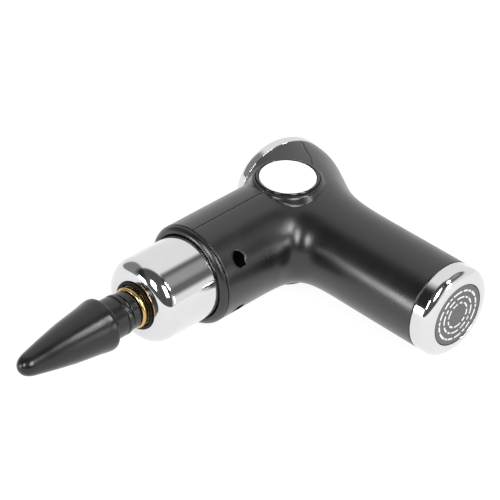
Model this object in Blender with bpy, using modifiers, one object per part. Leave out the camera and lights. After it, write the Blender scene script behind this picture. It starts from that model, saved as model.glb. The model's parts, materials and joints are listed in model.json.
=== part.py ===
"""Mini massage gun with a cone head, as separate parts (metres, +Z up).

The gun lies on its side. The barrel runs along X with its nose at -X, the
handle hangs along -Y, and a short third limb leans back on top of the hub.
"""

import math

import bmesh
import bpy
from mathutils import Matrix, Vector

MM = 0.001
WELD = 0.000002

# Driving sizes, in millimetres.
BARREL_R = 23.0
BARREL_LENGTH = 62.5
HANDLE_R = 20.6
HANDLE_LENGTH = 87.9
END_RING_DEPTH = 9.0
END_DISC_R = 14.5
TOP_TILT_DEG = 75.0
TOP_EDGE = (16.7, 20.6)
TOP_R = 22.6
TOP_RING_DEPTH = 7.0
TOP_END_R = 18.2
WALL = 2.4
GAP = 0.3
BUTTON_X = -4.4
BUTTON_R = 12.6
BUTTON_RISE = 1.5
NOSE_R = 19.3
NOSE_LENGTH = 33.0
NOSE_ROUND = 7.0
PISTON_R = 9.0
PISTON_WALL = 1.0
SLIDE_CLEARANCE = 0.35
BUSHING_WALL = 2.75
STROKE = 7.0
CRANK_X = 9.0
ROD_LENGTH = 41.0
SCREW_X = -53.0
SCREW_HOLE_R = 2.95
CELL_R = 6.9
CELL_LENGTH = 48.5
BOARD_Y = -32.6

# Sizes that follow from them.
AXIS_HEIGHT = BARREL_R + BUTTON_RISE
BARREL_FRONT_X = -BARREL_LENGTH
HANDLE_EDGE_Y = -HANDLE_LENGTH
NOSE_FRONT = BARREL_LENGTH + NOSE_LENGTH
NOSE_OPENING_R = PISTON_R + 1.5
BOSS_R = SCREW_HOLE_R + 0.85
SCREW_Z = PISTON_R + BOSS_R + 0.4
PISTON_BORE = PISTON_R - PISTON_WALL
SLIDE_R = PISTON_R + SLIDE_CLEARANCE
BUSHING_R = SLIDE_R + BUSHING_WALL
STEM_R = PISTON_BORE - 0.5

# The parting line runs along the barrel and turns up to the top ring.
PARTING_LINE = [(8, 0), (12, 1.0), (15.3, 4.6), (17.6, 8.2), (20.0, 13.0), (23.0, 19.0), (27.0, 45.0)]

# Sides of round pieces: outer, sliding, inner and small ones.
ROUND = 32
FINE = 28
INNER = 20
SMALL = 14

# Cage points of the body, on the plane of the axes.
CAGE_SIDES = 12
ELBOW_CORNER = (-34.5, -25.0)
REAR_CORNER = (27.5, -11.3)
FRONT_CORNER = (-7.0, 23.4)
APEX_AT = (5.7, 0.2)
TOP_WAIST = (7.2, -1.0, 1.13)
HANDLE_WAIST = (0.4, -23.0, 0.97)
CAGE_FACTOR = (4.0 + 2.0 * math.cos(2.0 * math.pi / CAGE_SIDES)) / 6.0
X_AXIS = Vector((1, 0, 0))
Y_AXIS = Vector((0, 1, 0))
Z_AXIS = Vector((0, 0, 1))
TOP_AXIS = Vector((math.cos(math.radians(TOP_TILT_DEG)), math.sin(math.radians(TOP_TILT_DEG)), 0))
TOP_ACROSS = Vector((TOP_AXIS.y, -TOP_AXIS.x, 0))
TOP_CENTRE = Vector((TOP_EDGE[0], TOP_EDGE[1], 0))
CRANK_RADIUS = STROKE / 2.0
PIN_X = CRANK_X - CRANK_RADIUS
WRIST_X = PIN_X - ROD_LENGTH

BLACK = ("satin_black_plastic", (0.018, 0.018, 0.020), 0.34, 0.0)
GLOSS = ("gloss_black_plastic", (0.010, 0.010, 0.011), 0.08, 0.0)
CHROME = ("chrome", (0.86, 0.86, 0.88), 0.05, 1.0)
WHITE = ("white_plastic", (0.90, 0.90, 0.90), 0.30, 0.0)
GREY = ("dark_grey_plastic", (0.10, 0.10, 0.105), 0.42, 0.0)
BRASS = ("brass", (0.80, 0.58, 0.27), 0.22, 1.0)
RUBBER = ("black_rubber", (0.020, 0.020, 0.022), 0.55, 0.0)
STEEL = ("steel", (0.60, 0.61, 0.63), 0.28, 1.0)
COPPER = ("copper_winding", (0.72, 0.36, 0.18), 0.35, 1.0)
BOARD = ("green_board", (0.03, 0.17, 0.07), 0.45, 0.0)
CELL = ("cell_sleeve", (0.05, 0.16, 0.40), 0.40, 0.0)
NYLON = ("pale_nylon", (0.78, 0.77, 0.72), 0.50, 0.0)


def clear_scene():
    for obj in list(bpy.data.objects):
        bpy.data.objects.remove(obj, do_unlink=True)


def world(x, y, z):
    """A point in millimetres from the crossing of the barrel and handle axes."""
    return Vector((x, y, z + AXIS_HEIGHT)) * MM


def collection(name):
    coll = bpy.data.collections.new(name)
    bpy.context.scene.collection.children.link(coll)
    return coll


def material(spec):
    name, colour, roughness, metallic = spec
    mat = bpy.data.materials.get(name)
    if mat is None:
        mat = bpy.data.materials.new(name)
        mat.use_nodes = True
        shader = mat.node_tree.nodes["Principled BSDF"]
        shader.inputs["Base Color"].default_value = (*colour, 1.0)
        shader.inputs["Roughness"].default_value = roughness
        shader.inputs["Metallic"].default_value = metallic
        mat.diffuse_color = (*colour, 1.0)
    return mat


clear_scene()
PARTS = collection("parts")
CUTTERS = collection("cutters")
HELPERS = collection("helpers")


def add_object(name, mesh, coll):
    obj = bpy.data.objects.new(name, mesh)
    coll.objects.link(obj)
    return obj


def finish(obj, spec, angle=35.0):
    obj.data.materials.clear()
    obj.data.materials.append(material(spec))
    if angle:
        obj.data.shade_smooth()
        obj.data.set_sharp_from_angle(angle=math.radians(angle))
    return obj


def baked(obj):
    """Turn an object's modifiers into plain mesh data."""
    bpy.context.view_layer.update()
    graph = bpy.context.evaluated_depsgraph_get()
    mesh = bpy.data.meshes.new_from_object(obj.evaluated_get(graph))
    obj.modifiers.clear()
    obj.data = mesh
    return obj


def turned(name, profile, axis, point, steps, coll=None, closed=False):
    """A profile of (radius, height) in mm, turned about an axis through point."""
    mesh = bpy.data.meshes.new(name)
    bm = bmesh.new()
    verts = [bm.verts.new((r * MM, 0, h * MM)) for r, h in profile]
    for a, b in zip(verts, verts[1:]):
        bm.edges.new((a, b))
    if closed:
        bm.edges.new((verts[-1], verts[0]))
    bm.to_mesh(mesh)
    bm.free()
    obj = add_object(name, mesh, coll or PARTS)
    screw = obj.modifiers.new("turn", "SCREW")
    screw.axis = "Z"
    screw.steps = steps
    screw.render_steps = steps
    screw.use_merge_vertices = True
    screw.merge_threshold = 0.00001
    baked(obj)
    turn = Z_AXIS.rotation_difference(axis)
    obj.rotation_mode = "QUATERNION"
    obj.rotation_quaternion = turn
    obj.location = world(*point)
    return obj


def ring(name, outer, inner, low, high, axis, point, steps, coll=None):
    """A tube from height low to high."""
    profile = [(inner, high), (outer, high), (outer, low), (inner, low)]
    return turned(name, profile, axis, point, steps, coll, closed=True)


def disc(name, radius, low, high, axis, point, steps, bevel=0.0, coll=None):
    """A solid cylinder from height low to high, with its edges broken by bevel."""
    b = bevel
    if b:
        profile = [(0, high), (radius - b, high), (radius, high - b)]
        profile += [(radius, low + b), (radius - b, low), (0, low)]
    else:
        profile = [(0, high), (radius, high), (radius, low), (0, low)]
    return turned(name, profile, axis, point, steps, coll)


def box(name, low, high, coll=None, bevel=0.0):
    """A box between two corners given in mm."""
    mesh = bpy.data.meshes.new(name)
    bm = bmesh.new()
    bmesh.ops.create_cube(bm, size=1.0)
    size = [(h - l) * MM for l, h in zip(low, high)]
    bmesh.ops.scale(bm, vec=size, verts=bm.verts)
    bm.to_mesh(mesh)
    bm.free()
    obj = add_object(name, mesh, coll or PARTS)
    obj.location = world(*[(h + l) / 2 for l, h in zip(low, high)])
    if bevel:
        mod = obj.modifiers.new("edge", "BEVEL")
        mod.width = bevel * MM
        mod.segments = 2
        mod.limit_method = "ANGLE"
        baked(obj)
    return obj


def boolean(target, other, operation):
    """Join, cut or intersect target with other, which stays as a hidden cutter."""
    for coll in list(other.users_collection):
        coll.objects.unlink(other)
    CUTTERS.objects.link(other)
    other.hide_render = True
    other.display_type = "WIRE"
    mod = target.modifiers.new(other.name, "BOOLEAN")
    mod.operation = operation
    mod.solver = "EXACT"
    mod.object = other
    baked(target)
    bm = bmesh.new()
    bm.from_mesh(target.data)
    bmesh.ops.remove_doubles(bm, verts=bm.verts, dist=WELD)
    bmesh.ops.dissolve_degenerate(bm, edges=bm.edges, dist=WELD)
    bm.to_mesh(target.data)
    bm.free()
    return target


def cut(target, *others):
    for other in others:
        boolean(target, other, "DIFFERENCE")
    return target


def join(target, *others):
    for other in others:
        boolean(target, other, "UNION")
    return target


def copy_of(obj, name, coll):
    new = obj.copy()
    new.data = obj.data.copy()
    new.name = name
    coll.objects.link(new)
    return new


def mirrored_z(name, profile_obj, coll):
    """A copy of an object reflected through the plane of the axes."""
    new = copy_of(profile_obj, name, coll)
    matrix = Matrix.Translation(world(0, 0, 0)) @ Matrix.Scale(-1, 4, Z_AXIS)
    matrix = matrix @ Matrix.Translation(-world(0, 0, 0)) @ profile_obj.matrix_world
    new.data.transform(matrix)
    new.data.flip_normals()
    new.matrix_world = Matrix.Identity(4)
    return new


# The outer form and the hollow inside it come from one coarse cage.
HALF = CAGE_SIDES // 2


def half_ring(centre, across, radius):
    """Cage points from one side of the middle plane, over the top, to the other."""
    rho = radius / CAGE_FACTOR
    points = []
    for i in range(HALF + 1):
        angle = math.pi * i / HALF
        points.append(centre + across * (rho * math.cos(angle)) + Z_AXIS * (rho * math.sin(angle)))
    return points


def crease(corner, apex):
    """Cage points from a corner on the middle plane up to the shared apex."""
    points = [corner]
    quarter = HALF // 2
    for i in range(1, quarter):
        angle = math.pi / 2 * i / quarter
        flat = corner.lerp(Vector((apex.x, apex.y, 0)), 1 - math.cos(angle))
        points.append(Vector((flat.x, flat.y, apex.z * math.sin(angle))))
    return points


def body_form(name, inset, level, reach):
    """The three-limbed body, shrunk by inset, with each open end pushed out by reach."""
    barrel_r = BARREL_R - inset
    handle_r = HANDLE_R - inset
    top_r = TOP_R - inset
    apex = Vector((*APEX_AT, barrel_r / CAGE_FACTOR))
    elbow = Vector((ELBOW_CORNER[0] + inset, ELBOW_CORNER[1] + inset, 0))
    rear = Vector((REAR_CORNER[0] - inset, REAR_CORNER[1] + inset, 0))
    front = Vector((FRONT_CORNER[0] + inset, FRONT_CORNER[1] - inset, 0))
    waist_depth, waist_shift, waist_width = TOP_WAIST
    top_waist = TOP_CENTRE - TOP_AXIS * waist_depth + TOP_ACROSS * waist_shift
    handle_x, handle_y, handle_width = HANDLE_WAIST
    to_elbow = crease(elbow, apex)
    to_rear = crease(rear, apex)
    to_front = crease(front, apex)
    limbs = {
        "handle": (
            to_elbow + [apex] + to_rear[::-1],
            [
                (Vector((handle_x, handle_y, 0)), -X_AXIS * handle_width, handle_r),
                (Vector((0, -48.0, 0)), -X_AXIS, handle_r),
                (Vector((0, HANDLE_EDGE_Y - reach, 0)), -X_AXIS, handle_r),
            ],
        ),
        "top": (
            to_rear + [apex] + to_front[::-1],
            [
                (top_waist, TOP_ACROSS * waist_width, top_r),
                (TOP_CENTRE + TOP_AXIS * reach, TOP_ACROSS, top_r),
            ],
        ),
        "barrel": (
            to_front + [apex] + to_elbow[::-1],
            [
                (Vector((-34.0, 0, 0)), Y_AXIS, barrel_r),
                (Vector((-46.0, 0, 0)), Y_AXIS, barrel_r),
                (Vector((BARREL_FRONT_X - reach, 0, 0)), Y_AXIS, barrel_r),
            ],
        ),
    }
    mesh = bpy.data.meshes.new(name)
    bm = bmesh.new()
    for start, rings in limbs.values():
        rows = [start] + [half_ring(*r) for r in rings]
        for below, above in zip(rows, rows[1:]):
            for i in range(HALF):
                quad = [below[i], below[i + 1], above[i + 1], above[i]]
                bm.faces.new([bm.verts.new(p * MM) for p in quad])
    bmesh.ops.remove_doubles(bm, verts=bm.verts, dist=0.00001)
    bmesh.ops.recalc_face_normals(bm, faces=bm.faces)
    bm.to_mesh(mesh)
    bm.free()
    obj = add_object(name, mesh, HELPERS)
    mirror = obj.modifiers.new("other_side", "MIRROR")
    mirror.use_axis = (False, False, True)
    mirror.merge_threshold = 0.00001
    smooth = obj.modifiers.new("smooth", "SUBSURF")
    smooth.levels = level
    smooth.render_levels = level
    baked(obj)
    bm = bmesh.new()
    bm.from_mesh(obj.data)
    bmesh.ops.holes_fill(bm, edges=[e for e in bm.edges if e.is_boundary], sides=0)
    bmesh.ops.recalc_face_normals(bm, faces=bm.faces)
    bmesh.ops.translate(bm, vec=world(0, 0, 0), verts=bm.verts)
    bm.to_mesh(obj.data)
    bm.free()
    return obj


def parting_block(name, shift):
    """The space that the top cover fills: over the parting line, shifted by shift mm."""
    line = [(-90, 0), *PARTING_LINE, (-90, PARTING_LINE[-1][1])]
    curve = bpy.data.curves.new(name, "CURVE")
    curve.dimensions = "2D"
    curve.fill_mode = "BOTH"
    curve.extrude = 40 * MM
    spline = curve.splines.new("POLY")
    spline.points.add(len(line) - 1)
    for point, (x, y) in zip(spline.points, line):
        lean = min(1.0, max(0.0, (x - 10.0) / 7.0))
        point.co = ((x - shift * lean) * MM, (y + shift * (1 - lean)) * MM, 0, 1)
    spline.use_cyclic_u = True
    obj = add_object(name, curve, HELPERS)
    bpy.context.view_layer.update()
    graph = bpy.context.evaluated_depsgraph_get()
    mesh = bpy.data.meshes.new_from_object(obj.evaluated_get(graph))
    bpy.data.objects.remove(obj, do_unlink=True)
    bm = bmesh.new()
    bm.from_mesh(mesh)
    bmesh.ops.remove_doubles(bm, verts=bm.verts, dist=0.00001)
    bmesh.ops.recalc_face_normals(bm, faces=bm.faces)
    bmesh.ops.translate(bm, vec=world(0, 0, 0), verts=bm.verts)
    bm.to_mesh(mesh)
    bm.free()
    return add_object(name, mesh, HELPERS)


# Side openings: a raised foot on the body, a black cup, and the disc inside it.
FOOT_TOP = BARREL_R + 0.6
FOOT_BASE = BARREL_R - 10.5
CUP_R = BUTTON_R + 1.4
CUP_HOLE_R = CUP_R + GAP
FOOT_PROFILE = [(0, FOOT_TOP), (CUP_HOLE_R + 0.4, FOOT_TOP), (CUP_HOLE_R + 1.3, FOOT_TOP - 0.7)]
FOOT_PROFILE += [(CUP_HOLE_R + 1.8, FOOT_TOP - 2.0), (CUP_HOLE_R + 2.6, FOOT_TOP - 4.0)]
FOOT_PROFILE += [(CUP_HOLE_R + 4.4, FOOT_TOP - 6.6)]
FOOT_PROFILE += [(CUP_HOLE_R + 3.0, FOOT_BASE), (0, FOOT_BASE)]


def side_pair(name, make):
    """The same helper on both sides of the gun."""
    upper = make(name + "_upper")
    bpy.context.view_layer.update()
    return [upper, mirrored_z(name + "_lower", upper, HELPERS)]


BUTTON_AT = (BUTTON_X, 0, 0)
FAR = 60.0
feet = side_pair("foot", lambda n: turned(n, FOOT_PROFILE, Z_AXIS, BUTTON_AT, ROUND, HELPERS))
HOLE_SIDES = ROUND + 4
holes = side_pair(
    "foot_hole",
    lambda n: disc(n, CUP_HOLE_R, FOOT_BASE - 4.5, FAR, Z_AXIS, BUTTON_AT, HOLE_SIDES, coll=HELPERS),
)

form = body_form("outer_form", 0.0, 2, 0.0)
hollow = body_form("hollow_form", WALL, 1, 3.0)
wall_middle = body_form("wall_middle", WALL / 2, 1, -1.0)
join(form, *feet)

# Screw bosses: the housing has the recess, the top cover takes the thread.
THREAD_R = 1.45
RECESS_FLOOR_Y = -6.2
THREAD_TOP_Y = 10.0
BOSS_OVERLAP = 4.0


def posts(name, radius, low, high):
    """Upright cylinders on the two screw axes."""
    made = []
    for sign in (-1, 1):
        at = (SCREW_X, 0, sign * SCREW_Z)
        made.append(disc(f"{name}_{sign}", radius, low, high, Y_AXIS, at, SMALL, coll=HELPERS))
    return made


def shell(name, keep, boss_low, boss_high):
    """One half of the body: the outer form less the hollow, plus its screw bosses."""
    obj = copy_of(form, name, PARTS)
    cut(obj, copy_of(hollow, name + "_hollow", HELPERS))
    bosses = posts(name + "_boss", BOSS_R, boss_low, boss_high)
    for post in bosses:
        boolean(post, copy_of(wall_middle, post.name + "_limit", HELPERS), "INTERSECT")
        for coll in list(post.users_collection):
            coll.objects.unlink(post)
        HELPERS.objects.link(post)
    join(obj, *bosses)
    keep(obj)
    for hole in holes:
        cut(obj, copy_of(hole, name + hole.name, HELPERS))
    return obj


main_housing = shell(
    "main_housing",
    lambda o: boolean(o, parting_block("over_line", -GAP / 2), "DIFFERENCE"),
    -FAR,
    BOSS_OVERLAP,
)
top_cover = shell(
    "top_cover",
    lambda o: boolean(o, parting_block("cover_space", GAP / 2), "INTERSECT"),
    -BOSS_OVERLAP,
    FAR,
)
cut(main_housing, *posts("screw_recess", SCREW_HOLE_R, -FAR, RECESS_FLOOR_Y))
cut(main_housing, *posts("screw_pass", THREAD_R, RECESS_FLOOR_Y - 6.0, BOSS_OVERLAP + 2.0))
cut(top_cover, *posts("screw_thread", THREAD_R, -BOSS_OVERLAP - 2.0, THREAD_TOP_Y))
PORT_Y = -28.4
PORT_HALF = (1.7, 4.6)
PORT_FRONT_X = HANDLE_R - 1.6
PORT_DEPTH = 8.0
port_low = (PORT_FRONT_X - PORT_DEPTH + 1.0, PORT_Y - PORT_HALF[0] - GAP, -PORT_HALF[1] - 0.4)
port_high = (FAR, PORT_Y + PORT_HALF[0] + GAP, PORT_HALF[1] + 0.4)
cut(main_housing, box("port_opening", port_low, port_high, HELPERS, bevel=1.2))
finish(main_housing, BLACK)
finish(top_cover, BLACK)

# Front of the barrel.
BARREL_BORE = BARREL_R - WALL - GAP
trim = [(NOSE_R + GAP, 2.3), (NOSE_R + 0.7, 2.8), (NOSE_R + 1.5, 2.7), (NOSE_R + 2.5, 2.1)]
trim += [(BARREL_R - 0.5, 1.3), (BARREL_R, GAP), (BARREL_BORE, GAP)]
trim += [(BARREL_BORE, -2.6), (NOSE_R + GAP, -2.6)]
finish(turned("barrel_trim_ring", trim, -X_AXIS, (BARREL_FRONT_X, 0, 0), ROUND, closed=True), BLACK)

NOSE_BACK = BARREL_LENGTH - 3.5


def nose_profile():
    """Outer side from the rounded front down to the flange, then up the inside."""
    front = NOSE_FRONT
    points = [(NOSE_OPENING_R, front - 1.9), (NOSE_OPENING_R, front - 0.4)]
    points.append((NOSE_OPENING_R + 0.5, front))
    for i in range(5):
        angle = math.pi / 2 * (1 - i / 4)
        r = NOSE_R - NOSE_ROUND + NOSE_ROUND * math.cos(angle)
        points.append((r, front - NOSE_ROUND + NOSE_ROUND * math.sin(angle)))
    points += [(NOSE_R, NOSE_BACK), (NOSE_R - 1.8, NOSE_BACK), (NOSE_R - 1.8, front - NOSE_ROUND)]
    points += [(NOSE_R - 4.6, front - 2.7), (NOSE_OPENING_R + 2.0, front - 1.9)]
    return points


finish(turned("nose_collar", nose_profile(), -X_AXIS, (0, 0, 0), ROUND, closed=True), CHROME)

# The brass socket, the piston and the parts that guide it.
WRIST = -WRIST_X
ORIGIN = (0, 0, 0)
lip = PISTON_R + 0.3
socket = [(PISTON_R - 0.8, 3.3), (PISTON_R - 0.2, 3.2), (lip - 0.1, 2.7), (lip, 2.2)]
socket += [(lip - 0.1, 1.2), (PISTON_R - 0.1, 0.4), (PISTON_R - 0.3, 0.0), (PISTON_BORE, 0.0)]
socket_at = (-NOSE_FRONT - 0.4, 0, 0)
finish(turned("brass_socket_ring", socket, -X_AXIS, socket_at, FINE, closed=True), BRASS)
PISTON_BACK = WRIST - 5.5
WEB_BACK = WRIST + 12.0
piston = [(0, WEB_BACK + 3.0), (PISTON_BORE, WEB_BACK + 3.0), (PISTON_BORE, NOSE_FRONT)]
piston += [(PISTON_R, NOSE_FRONT), (PISTON_R, PISTON_BACK), (PISTON_BORE, PISTON_BACK)]
piston += [(PISTON_BORE, WEB_BACK), (0, WEB_BACK)]
finish(turned("piston_tube", piston, -X_AXIS, ORIGIN, FINE), STEEL)
SEAL_BORE = PISTON_R + 0.6
LIP_R = NOSE_OPENING_R + 0.9
seal = [(LIP_R, NOSE_FRONT + 0.8), (LIP_R, NOSE_FRONT + GAP), (NOSE_OPENING_R - GAP, NOSE_FRONT + GAP)]
seal += [(NOSE_OPENING_R - GAP, NOSE_FRONT - 2.2), (NOSE_OPENING_R + 1.7, NOSE_FRONT - 2.2)]
seal += [(NOSE_OPENING_R + 1.7, NOSE_FRONT - 4.0), (SEAL_BORE, NOSE_FRONT - 4.0)]
seal.append((SEAL_BORE, NOSE_FRONT + 0.8))
finish(turned("nose_seal", seal, -X_AXIS, ORIGIN, FINE, closed=True), RUBBER)
CARRIER_BORE = BUSHING_R + GAP
CARRIER_R = CARRIER_BORE + 1.4
FLANGE_R = NOSE_R - 2.4
carrier = [(CARRIER_BORE, NOSE_FRONT - 7.5), (CARRIER_R, NOSE_FRONT - 7.5)]
carrier += [(CARRIER_R, NOSE_FRONT - 34.3), (FLANGE_R, NOSE_FRONT - 34.3)]
carrier += [(FLANGE_R, NOSE_FRONT - 37.1), (CARRIER_BORE, NOSE_FRONT - 37.1)]
finish(turned("bearing_carrier", carrier, -X_AXIS, ORIGIN, INNER, closed=True), GREY)
for label, front, length in (("front", 9.5, 12.0), ("middle", 25.5, 11.0)):
    high = NOSE_FRONT - front
    bushing = ring(f"{label}_bushing", BUSHING_R, SLIDE_R, high - length, high, -X_AXIS, ORIGIN, FINE)
    finish(bushing, GREY)
GUIDE_R = BARREL_R - WALL - 0.8
SLEEVE_R = SLIDE_R + 2.65
guide = [(SLIDE_R, WRIST + 11.5), (GUIDE_R, WRIST + 11.5), (GUIDE_R, WRIST + 9.1)]
guide += [(SLEEVE_R, WRIST + 9.1), (SLEEVE_R, WRIST + 0.5), (SLIDE_R, WRIST + 0.5)]
finish(turned("rear_guide", guide, -X_AXIS, ORIGIN, FINE, closed=True), GREY)
damper = [(SLEEVE_R + 1.0, WRIST + 8.7), (GUIDE_R - 0.2, WRIST + 8.7)]
damper += [(GUIDE_R - 0.2, WRIST + 6.7), (SLEEVE_R + 1.0, WRIST + 6.7)]
finish(turned("guide_damper", damper, -X_AXIS, ORIGIN, INNER, closed=True), RUBBER)

# The massage head: a rounded cone on a neck, with a stem and two rings in the socket.
# Heights are from the nose's front face.
HEAD_AT = (-NOSE_FRONT, 0, 0)
NECK_R = PISTON_R + 0.2
cone = [(0, 65.1), (1.8, 64.7), (3.3, 63.6), (4.4, 61.9), (5.15, 59.7), (7.25, 49.9), (9.3, 39.1)]
cone += [(10.9, 27.1), (11.6, 23.1), (11.9, 21.1), (11.8, 19.7), (11.1, 19.1), (NECK_R, 18.1)]
cone += [(NECK_R - 0.1, 11.9), (NECK_R - 0.6, 11.7), (NECK_R - 0.6, 11.3), (NECK_R - 0.1, 11.1)]
cone += [(NECK_R, 9.7), (NECK_R - 0.3, 8.7), (NECK_R - 0.6, 8.3)]
cone += [(STEM_R - 1.3, 8.3), (STEM_R - 1.3, 12.5), (0, 12.5)]
finish(turned("massage_head", cone, -X_AXIS, HEAD_AT, FINE), RUBBER, 50)
COLLAR_R = PISTON_R - 0.5
GROOVE_R = STEM_R - 0.8
stem = [(0, 12.1), (STEM_R - 1.7, 12.1), (STEM_R - 1.7, 8.0), (COLLAR_R, 8.0), (COLLAR_R, 4.4)]
stem.append((STEM_R, 4.2))
for at in (-18.1, -23.9):
    stem += [(STEM_R, at + 1.0), (GROOVE_R, at + 0.8), (GROOVE_R, at - 0.8), (STEM_R, at - 1.0)]
stem += [(STEM_R, -39.0), (STEM_R - 1.2, -40.2), (0, -40.2)]
finish(turned("head_stem", stem, -X_AXIS, HEAD_AT, INNER), RUBBER)
for label, at in (("front", -18.1), ("rear", -23.9)):
    o_ring = []
    for angle in range(150, -211, -60):
        turn = math.radians(angle)
        o_ring.append((GROOVE_R + 0.6 + 0.45 * math.cos(turn), at + 0.5 * math.sin(turn)))
    name = f"stem_o_ring_{label}"
    finish(turned(name, o_ring[:-1], -X_AXIS, HEAD_AT, SMALL, closed=True), RUBBER)

# Crank and rod.
CRANK_AT = (CRANK_X, 0, 0)
PIN_AT = (PIN_X, 0, 0)
pin = [(0, 2.9), (1.6, 2.9), (1.6, -2.9), (2.5, -3.0), (2.5, -3.9), (0, -3.9)]
finish(turned("crank_pin", pin, Y_AXIS, PIN_AT, SMALL), STEEL)
finish(ring("crank_bearing", 3.6, 1.9, -2.5, 2.5, Y_AXIS, PIN_AT, INNER), STEEL)
rod = disc("connecting_rod", 5.6, -2.4, 2.4, Y_AXIS, PIN_AT, INNER)
bar = box("rod_bar", (WRIST_X, -1.8, -2.4), (PIN_X, 1.8, 2.4), HELPERS)
eye = disc("rod_eye", 3.4, -2.4, 2.4, Y_AXIS, (WRIST_X, 0, 0), INNER, coll=HELPERS)
baked(rod)
join(rod, bar, eye)
rod_holes = [disc("rod_big_hole", 3.9, -6, 6, Y_AXIS, PIN_AT, INNER, coll=HELPERS)]
rod_holes.append(disc("rod_small_hole", 1.9, -6, 6, Y_AXIS, (WRIST_X, 0, 0), SMALL, coll=HELPERS))
cut(rod, *rod_holes)
finish(rod, STEEL)
finish(disc("wrist_pin", 1.6, -2.8, 2.8, Y_AXIS, (WRIST_X, 0, 0), SMALL), STEEL)
finish(ring("crank_disc", 7.0, 2.0, 3.2, 6.4, Y_AXIS, CRANK_AT, INNER), STEEL)
weight = ring("counterweight", 12.6, 7.3, 3.2, 6.4, Y_AXIS, CRANK_AT, 32)
cut(weight, box("weight_cut", (CRANK_X - 20, 0, -20), (CRANK_X + 2.0, 10, 20), HELPERS))
finish(weight, BRASS)
finish(disc("motor_shaft", 1.7, 3.2, 21.0, Y_AXIS, CRANK_AT, SMALL), STEEL)

# Motor: a mount with a boss tube, the stator round it and the bell outside.
mount = [(4.3, 17.4), (5.4, 17.4), (5.4, 9.0), (14.6, 9.0)]
mount += [(14.6, 6.9), (2.4, 6.9), (2.4, 7.6), (4.3, 7.6)]
finish(turned("motor_mount", mount, Y_AXIS, CRANK_AT, INNER, closed=True), GREY)
for label, low in (("low", 8.0), ("high", 14.6)):
    finish(ring(f"motor_bearing_{label}", 4.0, 2.0, low, low + 2.6, Y_AXIS, CRANK_AT, SMALL), STEEL)
finish(ring("stator_core", 10.4, 5.7, 10.4, 16.4, Y_AXIS, CRANK_AT, INNER), STEEL)
winding = [(7.0, 10.0), (9.8, 10.0), (9.8, 9.4), (7.0, 9.4)]
finish(turned("stator_winding", winding, Y_AXIS, CRANK_AT, INNER, closed=True), COPPER)
finish(ring("rotor_magnets", 12.6, 11.0, 10.0, 17.0, Y_AXIS, CRANK_AT, INNER), STEEL)
bell = [(2.0, 19.6), (13.6, 19.6), (14.2, 19.0), (14.2, 9.6), (12.9, 9.6), (12.9, 18.2), (2.0, 18.2)]
finish(turned("rotor_bell", bell, Y_AXIS, CRANK_AT, INNER, closed=True), STEEL)

# Chrome rings that close the two open limbs.
def end_ring(name, radius, depth, end_r, axis, point, lip, rounding):
    """A chrome end ring: straight side, rounded shoulder, open middle, spigot inside."""
    points = [(end_r, depth)]
    drop = radius - end_r
    for i in range(1, 6):
        angle = math.pi / 2 * i / 5
        points.append((end_r + drop * math.sin(angle), depth - rounding * (1 - math.cos(angle))))
    points += [(radius, GAP), (radius - WALL - GAP, GAP), (radius - WALL - GAP, -lip)]
    points += [(radius - WALL - GAP - 1.4, -lip), (radius - WALL - GAP - 1.4, 1.2)]
    points += [(end_r - 1.5, depth - 3.6), (end_r - 1.5, depth - 2.9), (end_r, depth - 2.4)]
    return finish(turned(name, points, axis, point, ROUND, closed=True), CHROME)


# Top ring and its cap, on the leaning limb.
top_at = (TOP_CENTRE.x, TOP_CENTRE.y, 0)
end_ring("top_ring", TOP_R, TOP_RING_DEPTH, TOP_END_R, TOP_AXIS, top_at, 1.5, 4.0)
low = TOP_RING_DEPTH - 2.0
finish(disc("top_cap", TOP_END_R - GAP, low, TOP_RING_DEPTH - 0.4, TOP_AXIS, top_at, ROUND, 0.3), GREY)

# Handle end.
end_at = (0, HANDLE_EDGE_Y, 0)
end_ring("handle_end_ring", HANDLE_R, END_RING_DEPTH, END_DISC_R, -Y_AXIS, end_at, 1.5, 3.9)
low = END_RING_DEPTH - 2.0
finish(disc("handle_end_disc", END_DISC_R - GAP, low, END_RING_DEPTH, -Y_AXIS, end_at, ROUND, 0.3), GREY)

# Button on the upper side, and a plain badge of the same size on the lower side.
CUP_TOP = AXIS_HEIGHT - 0.2
CUP_FLOOR = CUP_TOP - 4.3
CUP_BASE = CUP_TOP - 5.7
STALK_R = 2.8
cup = [(BUTTON_R + 0.4, CUP_TOP - 0.3), (BUTTON_R + 0.7, CUP_TOP), (CUP_R - 0.4, CUP_TOP)]
cup += [(CUP_R, CUP_TOP - 0.4), (CUP_R, CUP_BASE), (STALK_R + 0.6, CUP_BASE)]
cup += [(STALK_R + 0.6, CUP_FLOOR), (BUTTON_R + 0.4, CUP_FLOOR)]
cap = [(0, AXIS_HEIGHT), (BUTTON_R - 0.3, AXIS_HEIGHT), (BUTTON_R, AXIS_HEIGHT - 0.3)]
cap += [(BUTTON_R, CUP_FLOOR + 2.7), (STALK_R, CUP_FLOOR + 2.7)]
cap += [(STALK_R, CUP_BASE - 0.3), (0, CUP_BASE - 0.3)]
for side, axis, spec in (("button", Z_AXIS, WHITE), ("badge", -Z_AXIS, GREY)):
    finish(turned(f"{side}_bezel", cup, axis, BUTTON_AT, ROUND, closed=True), GLOSS)
    finish(turned(f"{side}_disc", cap, axis, BUTTON_AT, ROUND), spec)
SWITCH_TOP = CUP_BASE - 1.2
BUTTON_BOARD_TOP = SWITCH_TOP - 0.9
board = disc("button_board", 10.8, BUTTON_BOARD_TOP - 1.2, BUTTON_BOARD_TOP, Z_AXIS, BUTTON_AT, INNER)
finish(board, BOARD)
switch_low = (BUTTON_X - 2.4, -2.4, BUTTON_BOARD_TOP + GAP)
finish(box("button_switch", switch_low, (BUTTON_X + 2.4, 2.4, SWITCH_TOP)), STEEL)

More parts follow.
